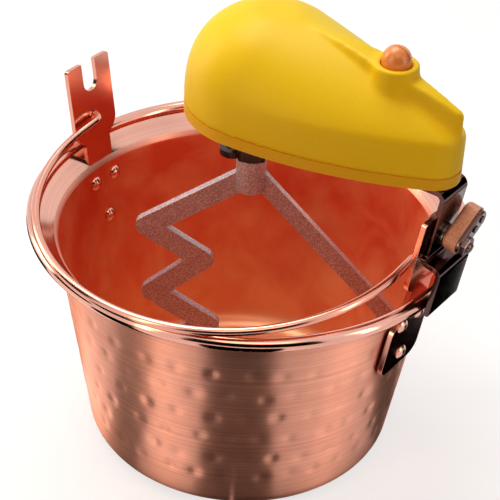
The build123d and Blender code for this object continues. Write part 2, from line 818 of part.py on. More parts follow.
def gear(teeth, module, width, bore):
    """Spur gear with involute flanks drawn as arcs, centred on the Z axis."""
    pitch_r = module * teeth / 2
    roll_r = pitch_r * cos(radians(pressure_angle))
    tip_r = pitch_r + tooth_tip * module
    root_r = pitch_r - tooth_root * module
    low_r = max(roll_r, root_r + flank_start * module)
    half = pi / (2 * teeth) - backlash / 2 / pitch_r
    pitch_roll = sqrt((pitch_r / roll_r) ** 2 - 1)
    pitch_spread = pitch_roll - atan2(pitch_roll, 1)

    def flank(r):
        roll = sqrt(max((r / roll_r) ** 2 - 1, 0))
        return half + pitch_spread - (roll - atan2(roll, 1))

    def at(r, angle):
        return r * cos(angle), r * sin(angle)

    mid_r = (low_r + tip_r) / 2
    tooth = Line((0, 0), at(root_r - tooth_seat, -flank(low_r)))
    tooth += Line(at(root_r - tooth_seat, -flank(low_r)), at(low_r, -flank(low_r)))
    tooth += ThreePointArc(at(low_r, -flank(low_r)), at(mid_r, -flank(mid_r)), at(tip_r, -flank(tip_r)))
    tooth += Line(at(tip_r, -flank(tip_r)), at(tip_r, flank(tip_r)))
    tooth += ThreePointArc(at(tip_r, flank(tip_r)), at(mid_r, flank(mid_r)), at(low_r, flank(low_r)))
    tooth += Line(at(low_r, flank(low_r)), at(root_r - tooth_seat, flank(low_r)))
    tooth += Line(at(root_r - tooth_seat, flank(low_r)), (0, 0))
    tooth = make_face(tooth)
    blank = Circle(root_r)
    teeth_faces = [Rot(0, 0, 360 * i / teeth) * tooth for i in range(teeth)]
    wheel = Sketch() + blank.fuse(*teeth_faces)
    return extrude(wheel - Circle(bore), width)


def mesh_turn(driver_teeth, driven_teeth, angle, driver_turn):
    """Turn of the driven gear, in degrees, that puts a gap where the driver has a tooth."""
    phase = (angle - driver_turn) * driver_teeth
    return angle + 180 + (180 + phase) / driven_teeth


def lighten(wheel, h, hole_r, ring_r):
    """Cut a ring of round holes through a wheel's web."""
    for i in range(hole_count):
        wheel -= Rot(0, 0, 360 * i / hole_count) * disc(ring_r, 0, -cut_over, hole_r, h + 2 * cut_over)
    return wheel


def make_output_gear():
    bore = shaft_r - shaft_step
    wheel = gear(slow_wheel_teeth, slow_module, gear_w, bore)
    wheel += disc(0, 0, gear_w, gear_hub_r, gear_hub_h) - disc(0, 0, gear_w, bore, gear_hub_h)
    wheel = lighten(wheel, gear_w, slow_hole_r, slow_hole_ring)
    return Pos(0, 0, gear_z) * wheel


def make_output_shaft():
    low = hub_low + shaft_foot
    shaft = disc(0, 0, low, shaft_r, gear_z - low)
    shaft += disc(0, 0, gear_z, shaft_r - shaft_step, gear_w + gear_hub_h)
    shaft -= groove_ring()
    shaft = chamfer(shaft.edges().group_by(Axis.Z)[0], edge_chamfer)
    high = groove_low()
    flat = Pos(0, shaft_flat + shaft_r, (low + high) / 2) * Box(2 * shaft_r, 2 * shaft_r, high - low)
    return shaft - Rot(0, 0, paddle_azimuth) * flat


def groove_low():
    return hub_high + clip_gap + clip_lip


def groove_ring():
    return disc(0, 0, groove_low(), 2 * shaft_r, groove_h) - disc(0, 0, groove_low(), groove_r, groove_h)


def make_bush():
    height = bush_high - boss_low
    return disc(0, 0, boss_low, bush_r, height) - disc(0, 0, boss_low, shaft_r + running_gap, height)


def make_compound():
    angle = degrees(atan2(compound_y, compound_x))
    turn = mesh_turn(slow_wheel_teeth, slow_pinion_teeth, angle, 0)
    small = Rot(0, 0, turn) * gear(slow_pinion_teeth, slow_module, fast_z - gear_z, pin_r + running_gap)
    large = Rot(0, 0, turn) * gear(fast_wheel_teeth, fast_module, gear_w - stack_gap, pin_r + running_gap)
    large = lighten(large, gear_w, fast_hole_r, fast_hole_ring)
    return Pos(compound_x, compound_y, gear_z) * (small + Pos(0, 0, fast_z - gear_z) * large), turn


def make_rotor(compound_turn):
    angle = degrees(atan2(-compound_y, rotor_x - compound_x))
    turn = mesh_turn(fast_wheel_teeth, fast_pinion_teeth, angle, compound_turn)
    pinion = Rot(0, 0, turn) * gear(fast_pinion_teeth, fast_module, gear_w, pinion_bore)
    rotor = Pos(0, 0, fast_z) * pinion
    rotor += disc(0, 0, fast_z, rotor_shaft_r, plate_z + motor_h + rotor_shaft_over - fast_z)
    rotor += disc(0, 0, plate_top + rotor_rise, rotor_r, motor_h - rotor_rise - rotor_end_gap)
    return Pos(rotor_x, 0, 0) * rotor


def make_gear_plate():
    plate = extrude(egg(plate_inset, plate_share), gear_plate_t)
    length = turret_x - plate_turret_gap - plate_nose_x
    plate = plate & Pos(plate_nose_x + length / 2, 0) * Box(length, 2 * nose_r, cut_through)
    holes = [(0, 0, plate_shaft_hole_r), (rotor_x, 0, rotor_shaft_r + plate_rotor_gap)]
    holes += [(compound_x, compound_y, pin_r + pin_fit)]
    holes += [(x, y, plate_screw_r + plate_screw_gap) for x, y in post_at]
    holes += [(x, y, boss_r + plate_boss_gap) for x, y in boss_places()]
    for x, y, r in holes:
        plate -= disc(x, y, -cut_over, r, gear_plate_t + 2 * cut_over)
    return Pos(0, 0, plate_z) * plate


def make_posts():
    low = under_z + housing_t
    bore = disc(0, 0, low, plate_screw_r + plate_screw_gap, plate_z - low)
    post = disc(0, 0, low, post_r, plate_z - low) - bore
    return [Pos(x, y, 0) * post for x, y in post_at]


def make_plate_screws():
    """Long screws down through the gear plate and its posts into the base."""
    low = under_z + screw_seat
    screw = disc(0, 0, low, plate_screw_r, plate_top - low)
    screw += disc(0, 0, plate_top, plate_screw_head_r, screw_head_h)
    return [Pos(x, y, 0) * screw for x, y in post_at]


def make_gear_pin():
    low = under_z + pin_seat
    return disc(compound_x, compound_y, low, pin_r - pin_fit / 2, plate_top + pin_end - low)


def make_motor_can():
    can = disc(rotor_x, 0, plate_top, motor_r, motor_h)
    can = fillet(can.edges().group_by(Axis.Z)[-1], can_corner_r)
    can -= disc(rotor_x, 0, plate_top + can_t, motor_r - can_t, motor_h - 2 * can_t)
    can -= disc(rotor_x, 0, plate_top - cut_over, rotor_shaft_r + running_gap, 2 * motor_h)
    return can


def make_coil():
    low = plate_top + can_t
    h = motor_h - 2 * can_t
    outer_r = motor_r - can_t - coil_gap
    return disc(rotor_x, 0, low, outer_r, h) - disc(rotor_x, 0, low, rotor_r + rotor_air_gap, h)


# Paddle: one aluminium casting, a zigzag arm and a straight arm joined by a bottom bar

def strip(points, width):
    line = Polyline(*points)
    return make_face(offset(line, amount=width / 2, side=Side.BOTH, kind=Kind.ARC).edges())


def make_paddle():
    bar_z = paddle_low + blade_w / 2 - blade_trim
    left_foot = (-zigzag_foot_x, bar_z)
    right_foot = (base_r - foot_wall_gap, bar_z)
    left = [(-arm_start_x, hub_low + zigzag_start_up)]
    left += [(-x, z) for x, z in zip(zigzag_x, zigzag_z)]
    right = [(arm_start_x, hub_low + arm_start_up), (base_r - arm_wall_gap, arm_bend_z), right_foot]
    frame = strip(left + [left_foot], blade_w) + strip(right, arm_w)
    frame += strip([left_foot, right_foot], blade_w - foot_trim)
    web = extrude(Plane.XZ * frame, paddle_t / 2, both=True)
    hub = disc(0, 0, hub_low, hub_r, hub_h)
    hub = fillet(hub.edges().group_by(Axis.Z)[0], hub_foot_r)
    paddle = web + hub
    bore = disc(0, 0, hub_low + hub_floor, shaft_r + hub_fit, 2 * hub_h)
    bore -= Pos(0, shaft_flat + flat_fit + shaft_r, hub_high) * Box(3 * shaft_r, 2 * shaft_r, 4 * hub_h)
    paddle -= bore
    paddle -= disc(0, 0, hub_high, 3 * hub_r, hub_h)
    return Rot(0, 0, paddle_azimuth) * paddle


def make_clip():
    """Lock clip: a forked slide in the shaft's groove, with a finger loop."""
    low = hub_high + clip_gap
    body = Pos(0, 0, low) * extrude(RectangleRounded(clip_length, clip_w, clip_corner_r), clip_t)
    body += Pos(-loop_reach, 0, low + (clip_t - loop_t) / 2) * extrude(Circle(loop_r), loop_t)
    body -= Pos(-loop_reach, 0, low + clip_t / 2) * Cylinder(loop_hole_r, cut_through)
    under = low - cut_over
    over = low + clip_t + cut_over
    body -= fork_slot(under, over, groove_r + key_gap)
    body -= fork_slot(under, groove_low() + key_gap, shaft_r + key_gap)
    body -= fork_slot(groove_low() + groove_h - key_gap, over, shaft_r + key_gap)
    return Rot(0, 0, paddle_azimuth) * body


def fork_slot(low, high, half):
    """Slot that lets the clip slide over the shaft, from low to high."""
    slot = Pos(clip_w, 0, (low + high) / 2) * Box(2 * clip_w, 2 * half, high - low)
    return slot + disc(0, 0, low, half, high - low)


def build():
    pot = make_pot()
    ear = make_ear()
    rivets = make_rivets(pot)
    compound, compound_turn = make_compound()
    return {
        "pot_shell": pot,
        "rim_wire": make_rim_wire(),
        "ear_right": ear,
        "ear_left": mirror(ear, about=Plane.YZ),
        "ear_rivets_right": group(rivets),
        "ear_rivets_left": group([mirror(rivet, about=Plane.YZ) for rivet in rivets]),
        "bail_handle": make_bail(),
        "housing_cover": make_cover(),
        "housing_base": make_base(),
        "housing_screws": group(make_housing_screws()),
        "cable_grommet": make_grommet(),
        "mount_bracket": make_bracket(),
        "bracket_screws": group(make_bracket_screws()),
        "clamp_stud": make_stud(),
        "clamp_nut": make_clamp_nut(),
        "clamp_grip": make_grip(),
        "clamp_strap": make_strap(),
        "grip_rivets": group(make_grip_rivets()),
        "power_button": make_button(),
        "switch_body": make_switch(),
        "button_spring": make_spring(),
        "output_gear": make_output_gear(),
        "output_shaft": make_output_shaft(),
        "output_bush": make_bush(),
        "compound_gear": compound,
        "gear_pin": make_gear_pin(),
        "gear_plate": make_gear_plate(),
        "gear_posts": group(make_posts()),
        "plate_screws": group(make_plate_screws()),
        "motor_can": make_motor_can(),
        "motor_coil": make_coil(),
        "motor_rotor": make_rotor(compound_turn),
        "paddle": make_paddle(),
        "lock_clip": make_clip(),
    }


os.makedirs("parts", exist_ok=True)
for name, shape in build().items():
    export_step(shape, os.path.join("parts", name + ".step"))
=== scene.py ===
# %% [markdown]
# # An electric polenta maker: dressing a finished construction
#
# A hammered copper pot carries a yellow drive unit in the fork of one ear, and the drive turns a cast
# aluminium paddle. The construction comes in as a frame of finished nodes, in metres, with +Z up and the
# origin at the centre of the pot's base. Here every visible surface gets its real finish, and the curved
# pieces whose meshes have to be finer than the construction needs are made again in the same place.

# %% Load the frame and keep its box
import json
import math
import random

import bmesh
import bpy
from mathutils import Matrix, Vector


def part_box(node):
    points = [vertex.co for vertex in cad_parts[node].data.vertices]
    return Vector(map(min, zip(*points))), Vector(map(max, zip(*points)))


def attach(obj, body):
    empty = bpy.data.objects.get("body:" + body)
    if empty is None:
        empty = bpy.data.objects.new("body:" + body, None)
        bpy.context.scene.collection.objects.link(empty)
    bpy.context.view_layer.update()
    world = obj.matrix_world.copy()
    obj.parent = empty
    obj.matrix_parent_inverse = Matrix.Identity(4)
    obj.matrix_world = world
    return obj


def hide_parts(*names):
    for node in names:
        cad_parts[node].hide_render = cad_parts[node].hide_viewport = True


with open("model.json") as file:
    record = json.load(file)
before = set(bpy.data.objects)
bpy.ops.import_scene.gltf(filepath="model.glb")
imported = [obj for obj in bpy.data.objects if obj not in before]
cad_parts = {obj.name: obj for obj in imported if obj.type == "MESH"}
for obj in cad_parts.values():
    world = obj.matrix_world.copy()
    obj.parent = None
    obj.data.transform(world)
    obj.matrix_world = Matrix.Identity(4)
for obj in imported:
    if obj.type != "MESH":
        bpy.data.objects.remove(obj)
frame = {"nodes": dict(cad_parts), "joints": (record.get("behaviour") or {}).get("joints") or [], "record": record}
nodes = frame["nodes"]
joints = {joint["name"]: joint for joint in frame["joints"]}
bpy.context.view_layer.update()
MM = 0.001

# %% [markdown]
# ## The camera
#
# The picture was taken from about a metre away with a long lens, looking down at a third of a right angle,
# with the camera turned a little in the hand. A long lens keeps the rim's far and near halves nearly equal.
# The frame's centre isn't the lens's axis, so a small shift puts the object where the picture has it.

# %% Camera
camera_turn = math.radians(34.5)
camera_height = math.radians(33.83)
camera_roll = math.radians(3.18)
camera_distance = 1.0
look_at = Vector((0, 0, 0.15))

camera_data = bpy.data.cameras.new("camera")
camera_data.sensor_width = 36
camera_data.lens = 122.3
camera_data.shift_x = 0.0026
camera_data.shift_y = -0.074
camera = bpy.data.objects.new("camera", camera_data)
bpy.context.scene.collection.objects.link(camera)
bpy.context.scene.camera = camera

facing = Matrix.Rotation(camera_turn, 4, "Z") @ Matrix.Rotation(math.pi / 2 - camera_height, 4, "X")
back = facing @ Vector((0, 0, 1))
turned = facing @ Matrix.Rotation(camera_roll, 4, "Z")
camera.matrix_world = Matrix.Translation(look_at + back * camera_distance) @ turned
print("camera at", [round(v, 3) for v in camera.matrix_world.translation])

# %% [markdown]
# ## Colours and nodes
#
# Colours are written as the hex values that a colour picker shows, and one function turns them into the
# linear light that the renderer works in. Another adds a shader node with its settings and its links, so
# that a material reads as a short recipe.

# %% Colour and node helpers


def colour(code):
    """Linear RGBA of an sRGB hex code."""
    parts = [int(code[i:i + 2], 16) / 255 for i in (1, 3, 5)]
    return [p / 12.92 if p <= 0.04045 else ((p + 0.055) / 1.055) ** 2.4 for p in parts] + [1.0]


def add(tree, kind, inputs=None, **settings):
    """Add a node; inputs maps a socket's name or number to a value or to another node's output."""
    node = tree.nodes.new("ShaderNode" + kind)
    for name, value in settings.items():
        setattr(node, name, value)
    for name, value in (inputs or {}).items():
        if isinstance(value, bpy.types.NodeSocket):
            tree.links.new(value, node.inputs[name])
        else:
            node.inputs[name].default_value = value
    return node


def start(name, **values):
    """A new material's tree, its surface shader and the object's own coordinates."""
    material = bpy.data.materials.new(name)
    material.use_nodes = True
    tree = material.node_tree
    shader = tree.nodes["Principled BSDF"]
    for socket, value in values.items():
        shader.inputs[socket.replace("_", " ")].default_value = value
    place = add(tree, "TexCoord").outputs["Object"]
    return material, tree, shader, place


def ramp(tree, source, low, high, start_at=0.0, end_at=1.0):
    """Two colours blended by a value, between two of its readings."""
    node = add(tree, "ValToRGB", {"Fac": source})
    node.color_ramp.elements[0].position = start_at
    node.color_ramp.elements[0].color = low
    node.color_ramp.elements[1].position = end_at
    node.color_ramp.elements[1].color = high
    return node.outputs["Color"]


def grey(value):
    return (value, value, value, 1.0)


print("copper in linear light", [round(v, 3) for v in colour("#C97F6E")])

# %% [markdown]
# ## Copper
#
# The pot is spun from copper sheet, so its wall carries fine rings round the axis, left by the tool and by
# the abrasive afterwards. Each ring is a tiny groove, and together they smear a reflection across the
# grooves: a lamp becomes an upright streak. The shader's anisotropy does the smearing. Its tangent runs
# round the axis, and a quarter turn puts the smear upright. Copper's colour lives in its reflection, so it
# is a metal with a pink-orange base colour and no paint. The rings' real pitch is too fine to show, so they
# are drawn as faint noise, squeezed to about 0.7 mm up the wall and drawn out round it.
#
# Inside, heat has left a thin film of oxide. It scatters light as well as reflecting it, so the finish is
# only part metal, and the copper's own colour shows redder. The film is cloudy. Towards the base its colour is
# painted paler: painted light, standing for the light that falls on the lower inside.

# %% Spun and polished copper
sweeps_per_m = 5
stains_per_m = 28.0
ring_depth_mm = 0.05


def spun_copper(name, base, dark, roughness, ring_mm, bump, spread):
    """Copper with rings round the axis, whose tone and roughness follow the rings."""
    material, tree, shader, place = start(name, Metallic=1.0, Roughness=roughness)
    rings = 1 / (ring_mm * MM)
    stretch = (sweeps_per_m, sweeps_per_m, rings)
    stretched = add(tree, "Mapping", {"Vector": place, "Scale": stretch}).outputs[0]
    lines = add(tree, "TexNoise", {"Vector": stretched, "Scale": 1.0, "Detail": 2.0}).outputs["Fac"]
    cloud = add(tree, "TexNoise", {"Vector": place, "Scale": stains_per_m, "Detail": 3.0}).outputs["Fac"]
    tone = ramp(tree, lines, dark, base, 0.3, 0.65)
    stain = ramp(tree, cloud, grey(0.9), grey(1.0), 0.3, 0.6)
    mixed = add(tree, "Mix", {6: tone, 7: stain, "Factor": 1.0}, data_type="RGBA", blend_type="MULTIPLY")
    tree.links.new(mixed.outputs[2], shader.inputs["Base Color"])
    rough = add(tree, "MapRange", {"Value": lines, "To Min": roughness - spread,
                                   "To Max": roughness + spread})
    tree.links.new(rough.outputs[0], shader.inputs["Roughness"])
    height = add(tree, "Bump", {"Height": lines, "Strength": bump, "Distance": ring_depth_mm * MM})
    tree.links.new(height.outputs[0], shader.inputs["Normal"])
    return material, tree, shader


brushed_copper, tree, shader = spun_copper(
    "brushed_copper", colour("#F0AF97"), colour("#DE9A84"), 0.46, 0.7, 0.12, 0.04)
shader.inputs["Anisotropic"].default_value = 0.88
shader.inputs["Anisotropic Rotation"].default_value = 0.25
tree.links.new(add(tree, "Tangent", direction_type="RADIAL", axis="Z").outputs[0], shader.inputs["Tangent"])
polished_copper = spun_copper(
    "polished_copper", colour("#EDB3A0"), colour("#E6A793"), 0.12, 1.2, 0.03, 0.02)[0]

# %% Copper with an oxide film and painted light towards the base, for the inside
# Painted light: the heights over which the inside is painted paler towards the base, and how much paler it is at
# the base.
painted_light_from_mm, painted_light_to_mm = 10, 100
painted_light_at_base = 0.45
film_spread = 0.1


def oxide_and_painted_light_copper(name, red, pale, roughness, patch_mm):
    """Copper under a cloudy oxide layer that runs from red to pale, with painted light that makes it paler towards
    the base.
    """
    material, tree, shader, place = start(name, Metallic=0.4, Roughness=roughness)
    cloud = add(tree, "TexNoise", {"Vector": place, "Scale": 1 / (patch_mm * MM), "Detail": 4.0,
                                   "Distortion": 0.5}).outputs["Fac"]
    height = add(tree, "SeparateXYZ", {0: place}).outputs["Z"]
    # Painted light: this adds paleness that grows towards the base, standing for the light on the lower inside.
    low = add(tree, "MapRange", {"Value": height, "From Min": painted_light_from_mm * MM, "From Max": painted_light_to_mm * MM,
                                 "To Min": painted_light_at_base, "To Max": 0.0})
    film_and_painted_light = add(tree, "Math", {0: cloud, 1: low.outputs[0]}, operation="ADD").outputs[0]
    tree.links.new(ramp(tree, film_and_painted_light, red, pale, 0.4, 1.0), shader.inputs["Base Color"])
    rough = add(tree, "MapRange", {"Value": cloud, "To Min": roughness - film_spread,
                                   "To Max": roughness + film_spread})
    tree.links.new(rough.outputs[0], shader.inputs["Roughness"])
    return material


inner_copper = oxide_and_painted_light_copper("oxide_and_painted_light_copper", colour("#E25A38"), colour("#F7B07C"), 0.36, 32)
print("copper finishes", brushed_copper.name, inner_copper.name, polished_copper.name)

# %% [markdown]
# ## Plated steel, cast aluminium and the small metal parts
#
# The ears and the bail are steel with a bright copper plating: a smoother metal than the sheet, with only
# faint scratches. The bracket and its clamp are bright nickel plate given a dark base colour: a painted reflection
# of the dark surroundings in a mirror finish.
# The paddle is sand-cast aluminium: grains of about 0.8 mm glitter at different angles, while its edges
# were ground bright after casting.

# %% Plated and cast metals
scratches_per_m = 90.0
scratch_depth_mm = 0.1
fine_grain = 0.8


def plated(name, code, roughness, scratch=0.03):
    """A smooth metal of one colour whose roughness wanders a little."""
    material, tree, shader, place = start(name, Base_Color=colour(code), Metallic=1.0, Roughness=roughness)
    wear = add(tree, "TexNoise", {"Vector": place, "Scale": scratches_per_m, "Detail": 5.0}).outputs["Fac"]
    rough = add(tree, "MapRange", {"Value": wear, "To Min": roughness - scratch,
                                   "To Max": roughness + scratch})
    tree.links.new(rough.outputs[0], shader.inputs["Roughness"])
    height = add(tree, "Bump", {"Height": wear, "Strength": 0.05, "Distance": scratch_depth_mm * MM})
    tree.links.new(height.outputs[0], shader.inputs["Normal"])
    return material


def cast_grain(name, dark, light, roughness, grain_mm, depth_mm):
    """A sand-cast face: cells times noise, so that no two grains are alike."""
    material, tree, shader, place = start(name, Metallic=0.45, Roughness=roughness)
    cells = add(tree, "TexVoronoi", {"Vector": place, "Scale": 1 / (grain_mm * MM)}).outputs["Distance"]
    fine_scale = fine_grain / (grain_mm * MM)
    fine = add(tree, "TexNoise", {"Vector": place, "Scale": fine_scale, "Detail": 3.0}).outputs["Fac"]
    sparkle = add(tree, "Math", {0: cells, 1: fine}, operation="MULTIPLY").outputs[0]
    tree.links.new(ramp(tree, sparkle, dark, light, 0.1, 0.42), shader.inputs["Base Color"])
    height = add(tree, "Bump", {"Height": sparkle, "Strength": 0.6, "Distance": depth_mm * MM})
    tree.links.new(height.outputs[0], shader.inputs["Normal"])
    return material


plated_copper = plated("copper_plating", "#E3A08C", 0.17)
# Painted reflection: bright nickel given a dark base colour, standing for the dark surroundings that it mirrors.
nickel_painted_dark = plated("nickel_painted_dark", "#5A4441", 0.1)
dark_steel = plated("blackened_steel", "#6B5A57", 0.25)
turned_steel = plated("turned_steel", "#B9B2B0", 0.22)
zinc_steel = plated("zinc_plated_steel", "#A9A8A8", 0.3)
sintered_bronze = plated("sintered_bronze", "#A57B4A", 0.4)
winding_wire = plated("enamelled_winding", "#8F4A2C", 0.35)
ferrite = plated("ferrite", "#3A3A3C", 0.5)
ground_aluminium = plated("ground_aluminium", "#F4EEEE", 0.3)
cast_aluminium = cast_grain("cast_aluminium", colour("#9A848C"), colour("#DCCFD3"), 0.45, 0.8, 0.15)
print("metals ready")

# %% [markdown]
# ## Moulded plastics, rubber and wood
#
# The housing is moulded ABS with a fine spark-eroded texture that the steel mould gives it: not shiny,
# never quite matt, with grains of about 0.6 mm. The button is a clear peach-coloured plastic, smoother than
# the housing, with a little light inside it. The grip is beech, whose grain runs along its length.

# %% Plastics and wood


def moulded(name, code, roughness, grain_mm, depth_mm, tint=0.94, gloss=0.5):
    """A plastic with the fine grain of its mould."""
    material, tree, shader, place = start(name, Roughness=roughness, IOR=1.53, Specular_IOR_Level=gloss)
    grains_per_m = 1 / (grain_mm * MM)
    grain = add(tree, "TexNoise", {"Vector": place, "Scale": grains_per_m, "Detail": 2.0}).outputs["Fac"]
    base = colour(code)
    worn = [c * tint for c in base[:3]] + [1.0]
    tree.links.new(ramp(tree, grain, worn, base, 0.35, 0.65), shader.inputs["Base Color"])
    height = add(tree, "Bump", {"Height": grain, "Strength": 0.3, "Distance": depth_mm * MM})
    tree.links.new(height.outputs[0], shader.inputs["Normal"])
    return material


yellow_abs = moulded("yellow_abs", "#F8D408", 0.45, 0.6, 0.06, gloss=0.25)
yellow_base = moulded("yellow_abs_base", "#EDB909", 0.45, 0.6, 0.06, gloss=0.25)
button_plastic = moulded("peach_polycarbonate", "#F39A4C", 0.25, 3.0, 0.01, 0.9)
shader = button_plastic.node_tree.nodes["Principled BSDF"]
shader.inputs["Subsurface Weight"].default_value = 0.3
shader.inputs["Subsurface Radius"].default_value = (0.004, 0.002, 0.001)
black_nylon = moulded("black_nylon", "#080707", 0.22, 0.5, 0.02)
black_rubber = moulded("black_rubber", "#1C1A1A", 0.7, 0.4, 0.05)
acetal = moulded("white_acetal", "#E4E0D4", 0.35, 0.6, 0.02)

grip_turn = (math.radians(37), 0, 0)
grains_across, grains_along = 1100, 70
grain_depth_mm = 0.1


def beech_wood():
    """Beech whose grain runs along the grip as it stands on its stud."""
    material, tree, shader, place = start("beech", Roughness=0.45)
    turned = add(tree, "Mapping", {"Vector": place, "Rotation": grip_turn}).outputs[0]
    stretch = (grains_across, grains_along, grains_across)
    along_grip = add(tree, "Mapping", {"Vector": turned, "Scale": stretch}).outputs[0]
    grain = add(tree, "TexNoise", {"Vector": along_grip, "Scale": 1.0, "Detail": 3.0}).outputs["Fac"]
    tone = ramp(tree, grain, colour("#D98A66"), colour("#F6BE9E"), 0.3, 0.7)
    tree.links.new(tone, shader.inputs["Base Color"])
    height = add(tree, "Bump", {"Height": grain, "Strength": 0.3, "Distance": grain_depth_mm * MM})
    tree.links.new(height.outputs[0], shader.inputs["Normal"])
    return material


beech = beech_wood()
print("plastics and wood ready")

# %% [markdown]
# ## Two ways to make a piece
#
# Most pieces have the right shape already, but the construction leaves every edge perfectly sharp, and no
# real edge is. `soften` copies such a node, joins its loose triangles, and rounds its edges by a few tenths
# of a millimetre so that they catch the light. Pieces that need a finer mesh are made new. Both end in
# `place`, which gives a piece its material and its body and hides the node that it stands for.

# %% Piece helpers
bodies = frame["record"]["behaviour"]["bodies"]
fold_angle = math.radians(32)
flat_angle = math.radians(0.5)
merge_mm = 0.002


def place(name, shape, materials, body, *stands_for):
    """Make an object of a bmesh, on a body, in place of the named nodes."""
    mesh = bpy.data.meshes.new(name)
    shape.to_mesh(mesh)
    shape.free()
    for material in materials:
        mesh.materials.append(material)
    piece = bpy.data.objects.new(name, mesh)
    bpy.context.scene.collection.objects.link(piece)
    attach(piece, body)
    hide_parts(*stands_for)
    return piece


def body_of(node):
    return next(body for body, members in bodies.items() if node in members)


def merged_copy(node, whole_faces=True):
    """A node's mesh with its loose triangles joined and, if asked, its flat faces made whole."""
    bm = bmesh.new()
    bm.from_mesh(nodes[node].data)
    bmesh.ops.remove_doubles(bm, verts=bm.verts[:], dist=merge_mm * MM)
    if whole_faces:
        bmesh.ops.dissolve_limit(bm, angle_limit=flat_angle, verts=bm.verts[:], edges=bm.edges[:])
    return bm


def smooth_shade(piece, angle=fold_angle):
    for face in piece.data.polygons:
        face.use_smooth = True
    piece.data.set_sharp_from_angle(angle=angle)


def soften(node, materials, edge_mm=0.3, edge_material=-1, segments=2):
    """Copy a node with its edges rounded, and hide the node."""
    piece = place(node + "_finish", merged_copy(node), materials, body_of(node), node)
    smooth_shade(piece)
    bevel = piece.modifiers.new("edges", "BEVEL")
    bevel.width = edge_mm * MM
    bevel.segments = segments
    bevel.limit_method = "ANGLE"
    bevel.angle_limit = fold_angle
    bevel.use_clamp_overlap = True
    bevel.harden_normals = True
    bevel.material = edge_material
    return piece


def triangles(piece):
    """How many triangles a piece has once its modifiers are applied."""
    evaluated = piece.evaluated_get(bpy.context.evaluated_depsgraph_get()).to_mesh()
    return sum(len(face.vertices) - 2 for face in evaluated.polygons)


round_angle = math.radians(50)
print("helpers ready")

# %% [markdown]
# ## The pot
#
# The pot is one sheet: a flat base, a wall that leans out, a lip that flares at 45 degrees and a rim rolled
# round a wire. All of that is one outline spun about the axis, so the outline is drawn once, with arcs where
# the sheet bends. The hammer marks come after the spin: six staggered rows of shallow dents, pressed in from
# outside, with the unevenness of handwork. They are moved vertices and not a bump map, because at the edge
# of the pot they break its outline. Inside, each dent shows as a soft swelling.

# %% Pot outline
base_r = 92.0
wall_lean = math.radians(8.8)
wall_t = 1.5
corner_r = 15.0
lip_start_z = 139.0
lip_bend_r = 8.0
bead_at = (126.0, 151.0)
bead_r = 4.0
bead_steps = 22
bead_mouth = 0.2
lip_turn = math.radians(45)
outer_step, inner_step = 1.7, 3.4


def rounded(points, radii, step_deg=6):
    """A polyline whose inner corners are replaced by arcs of the given radii."""
    outline = [Vector(points[0])]
    for before, corner, after, radius in zip(points, points[1:], points[2:], radii):
        before, corner, after = Vector(before), Vector(corner), Vector(after)
        into, out = (corner - before).normalized(), (after - corner).normalized()
        turn = into.angle_signed(out)
        cut = radius * math.tan(abs(turn) / 2)
        side = Vector((-into.y, into.x)) * (-1 if turn > 0 else 1)
        centre = corner - into * cut + side * radius
        count = max(2, math.ceil(math.degrees(abs(turn)) / step_deg))
        for i in range(count + 1):
            arm = (corner - into * cut) - centre
            arm.rotate(Matrix.Rotation(-turn * i / count, 2))
            outline.append(centre + arm)
    outline.append(Vector(points[-1]))
    return outline


def divided(points, longest):
    """The same line with its long stretches cut into even lengths."""
    line = [points[0]]
    for a, b in zip(points, points[1:]):
        count = max(1, math.ceil((b - a).length / longest))
        line += [a.lerp(b, i / count) for i in range(1, count + 1)]
    return line


def sheet_side(inset):
    """One side of the sheet, from the base's centre to where the lip meets the bead."""
    side_r = base_r - inset / math.cos(wall_lean)
    corner = (side_r + inset * math.tan(wall_lean), inset)
    lip = (side_r + lip_start_z * math.tan(wall_lean), lip_start_z)
    join = math.pi + lip_turn + (bead_mouth if inset == 0 else -bead_mouth)
    end = (bead_at[0] + bead_r * math.cos(join), bead_at[1] + bead_r * math.sin(join))
    return rounded([(0, inset), corner, lip, end], [corner_r - inset, lip_bend_r])


outer_side = sheet_side(0)
inner_side = sheet_side(wall_t)
bead = []
for i in range(1, bead_steps):
    angle = math.pi + lip_turn + bead_mouth + i / bead_steps * (2 * math.pi - 2 * bead_mouth)
    bead.append(Vector((bead_at[0] + bead_r * math.cos(angle), bead_at[1] + bead_r * math.sin(angle))))
pot_outline = divided(outer_side, outer_step) + bead + divided(inner_side, inner_step)[::-1]
print("outline points", len(pot_outline))

# %% Spin the outline and press the hammer marks
mark_rows = [115.0, 98.0, 80.0, 62.0, 44.5, 30.0]
marks_per_row = 34
mark_depth = 0.85
mark_r = 3.5
turn_jitter, height_jitter = 0.14, 1.6
depth_range, width_range = (0.55, 1.15), (0.85, 1.2)
mark_reach = 3
mark_zone = (18, 128)
wall_band = 8
inside_share = 0.6
round_steps = 384

pot = bmesh.new()
for point in pot_outline:
    pot.verts.new((point.x * MM, 0, point.y * MM))
pot.verts.ensure_lookup_table()
for a, b in zip(pot.verts[:-1], pot.verts[1:]):
    pot.edges.new((a, b))
bmesh.ops.spin(pot, geom=pot.verts[:] + pot.edges[:], cent=(0, 0, 0), axis=(0, 0, 1), dvec=(0, 0, 0),
               angle=2 * math.pi, steps=round_steps, use_merge=True, use_duplicate=False)
bmesh.ops.remove_doubles(pot, verts=pot.verts[:], dist=0.01 * MM)
bmesh.ops.recalc_face_normals(pot, faces=pot.faces[:])

random.seed(7)
marks = []
for row, row_z in enumerate(mark_rows):
    for i in range(marks_per_row):
        step = i + 0.5 * (row % 2) + random.uniform(-turn_jitter, turn_jitter)
        angle = 2 * math.pi * step / marks_per_row
        marks.append((angle % (2 * math.pi), row_z + random.uniform(-height_jitter, height_jitter),
                      mark_depth * random.uniform(*depth_range), mark_r * random.uniform(*width_range)))


